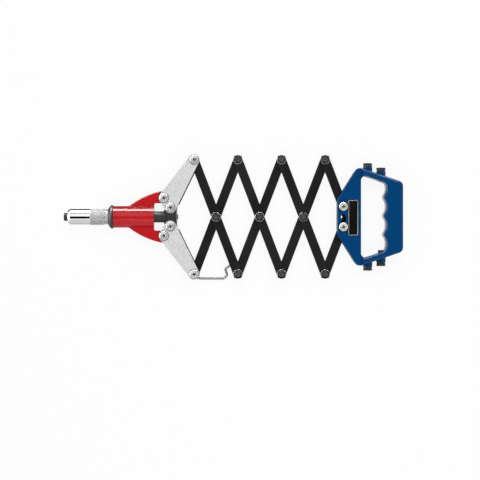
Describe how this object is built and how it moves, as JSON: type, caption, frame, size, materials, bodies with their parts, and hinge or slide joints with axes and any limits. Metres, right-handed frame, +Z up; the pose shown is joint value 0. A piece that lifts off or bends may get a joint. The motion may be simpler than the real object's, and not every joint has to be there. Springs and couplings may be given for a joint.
{
  "type": "lazy tong riveter",
  "caption": "Blind-rivet tool: crossed bars between a finger-grip handle and a nosed head fold like scissors and pull a rivet's mandrel.",
  "frame": {"origin": "the centre of the tool's outline seen from above, at the flat underside of the grip that it lies on", "axes": "+X along the tool from the nose to the grip, +Y across it, +Z up off the surface it lies on"},
  "size_m": [0.387, 0.1435, 0.027],
  "materials": {
    "red_paint": "glossy red enamel",
    "blue_paint": "satin blue enamel",
    "black_paint": "satin black",
    "silver_paint": "satin silver",
    "chrome": "polished chrome plate",
    "dark_steel": "blackened steel",
    "bright_steel": "zinc-plated steel"
  },
  "bodies": {
    "head": {"head_casting": "red_paint", "nose_sleeve": "chrome", "lock_ring": "dark_steel", "fitted_nosepiece": "dark_steel"},
    "crosshead": {"crosshead": "black_paint", "draw_rod": "bright_steel", "jaw_case": "bright_steel", "jaws": "dark_steel", "jaw_pusher": "dark_steel", "jaw_spring": "bright_steel"},
    "arm_upper": {"upper_arm_top_plate": "silver_paint", "upper_arm_bottom_plate": "silver_paint", "upper_arm_spacer": "black_paint", "upper_arm_screws": "bright_steel", "upper_arm_nuts": "bright_steel"},
    "arm_lower": {"lower_arm_top_plate": "silver_paint", "lower_arm_bottom_plate": "silver_paint", "lower_arm_spacer": "black_paint", "lower_arm_screws": "bright_steel", "lower_arm_nuts": "bright_steel", "lower_arm_stud": "dark_steel"},
    "latch": {"wire_hook": "bright_steel"},
    "tong_a1": {"bar_a1": "black_paint", "middle_pin_1": "dark_steel", "middle_clip_1": "bright_steel", "lower_pin_1": "dark_steel", "lower_clip_1": "bright_steel"},
    "tong_b1": {"bar_b1": "black_paint", "upper_pin_1": "dark_steel", "upper_clip_1": "bright_steel", "lower_bar_eye_pin": "dark_steel"},
    "tong_a2": {"bar_a2": "black_paint", "middle_pin_2": "dark_steel", "middle_clip_2": "bright_steel", "lower_pin_2": "dark_steel", "lower_clip_2": "bright_steel"},
    "tong_b2": {"bar_b2": "black_paint", "upper_pin_2": "dark_steel", "upper_clip_2": "bright_steel"},
    "tong_a3": {"bar_a3": "black_paint", "middle_pin_3": "dark_steel", "middle_clip_3": "bright_steel", "lower_pin_3": "dark_steel", "lower_clip_3": "bright_steel"},
    "tong_b3": {"bar_b3": "black_paint", "upper_pin_3": "dark_steel", "upper_clip_3": "bright_steel"},
    "tong_a4": {"half_bar_a": "black_paint"},
    "tong_b4": {"half_bar_b": "black_paint", "handle_slot_screw": "bright_steel", "handle_slot_nut": "bright_steel"},
    "handle": {"handle_casting": "blue_paint", "nameplate": "black_paint", "handle_pivot_screw": "bright_steel", "handle_pivot_nut": "bright_steel", "spare_nosepiece_1": "dark_steel", "spare_nosepiece_2": "dark_steel", "spare_nosepiece_3": "dark_steel", "spare_nosepiece_4": "dark_steel"}
  },
  "joints": [
    {"name": "fold", "type": "hinge", "parent": "head", "child": "arm_upper", "pos_m": [-0.07888, 0.02155, 0.0135], "axis": [0, 0, 1], "range_deg": [-40.5, 14]},
    {"name": "lower_arm_pivot", "type": "hinge", "parent": "head", "child": "arm_lower", "pos_m": [-0.07888, -0.02155, 0.0135], "axis": [0, 0, 1], "range_deg": [-14.2, 40.7]},
    {"name": "tong_a1_pivot", "type": "hinge", "parent": "arm_upper", "child": "tong_a1", "pos_m": [-0.04438, 0.06541, 0.0135], "axis": [0, 0, 1], "range_deg": [-28.62, 82.42]},
    {"name": "tong_b1_pivot", "type": "hinge", "parent": "tong_a1", "child": "tong_b1", "pos_m": [-0.01945, 0, 0.0135], "axis": [0, 0, 1], "range_deg": [-83.63, 29.04]},
    {"name": "tong_b2_pivot", "type": "hinge", "parent": "tong_a1", "child": "tong_b2", "pos_m": [0.00547, -0.06541, 0.0135], "axis": [0, 0, 1], "range_deg": [-83.63, 29.04]},
    {"name": "tong_a2_pivot", "type": "hinge", "parent": "tong_b1", "child": "tong_a2", "pos_m": [0.00547, 0.06541, 0.0135], "axis": [0, 0, 1], "range_deg": [-29.04, 83.63]},
    {"name": "tong_a3_pivot", "type": "hinge", "parent": "tong_b2", "child": "tong_a3", "pos_m": [0.05532, 0.06541, 0.0135], "axis": [0, 0, 1], "range_deg": [-29.04, 83.63]},
    {"name": "tong_b3_pivot", "type": "hinge", "parent": "tong_a2", "child": "tong_b3", "pos_m": [0.05532, -0.06541, 0.0135], "axis": [0, 0, 1], "range_deg": [-83.63, 29.04]},
    {"name": "tong_b4_pivot", "type": "hinge", "parent": "tong_a3", "child": "tong_b4", "pos_m": [0.10518, -0.06541, 0.0135], "axis": [0, 0, 1], "range_deg": [-83.63, 29.04]},
    {"name": "tong_a4_pivot", "type": "hinge", "parent": "tong_b3", "child": "tong_a4", "pos_m": [0.10518, 0.06541, 0.0135], "axis": [0, 0, 1], "range_deg": [-29.04, 83.63]},
    {"name": "handle_pivot", "type": "hinge", "parent": "tong_a4", "child": "handle", "pos_m": [0.12568, 0.0116, 0.0135], "axis": [0, 0, 1], "range_deg": [-41.92, 14.62]},
    {"name": "draw_stroke", "type": "slide", "parent": "head", "child": "crosshead", "axis": [1, 0, 0], "range_m": [-0.00886, 0.00313]},
    {"name": "latch_swing", "type": "hinge", "parent": "arm_lower", "child": "latch", "pos_m": [-0.04438, -0.06541, 0.0135], "axis": [0, 0, 1], "range_deg": [-75, 14]}
  ],
  "couplings": [
    {"joint": "lower_arm_pivot", "follows": "fold", "ratio": -1},
    {"joint": "tong_a1_pivot", "follows": "fold", "ratio": -2.03},
    {"joint": "tong_b1_pivot", "follows": "fold", "ratio": 2.06},
    {"joint": "tong_b2_pivot", "follows": "fold", "ratio": 2.06},
    {"joint": "tong_a2_pivot", "follows": "fold", "ratio": -2.06},
    {"joint": "tong_a3_pivot", "follows": "fold", "ratio": -2.06},
    {"joint": "tong_b3_pivot", "follows": "fold", "ratio": 2.06},
    {"joint": "tong_b4_pivot", "follows": "fold", "ratio": 2.06},
    {"joint": "tong_a4_pivot", "follows": "fold", "ratio": -2.06},
    {"joint": "handle_pivot", "follows": "fold", "ratio": 1.03},
    {"joint": "draw_stroke", "follows": "fold", "m_per_rad": 0.012393}
  ]
}
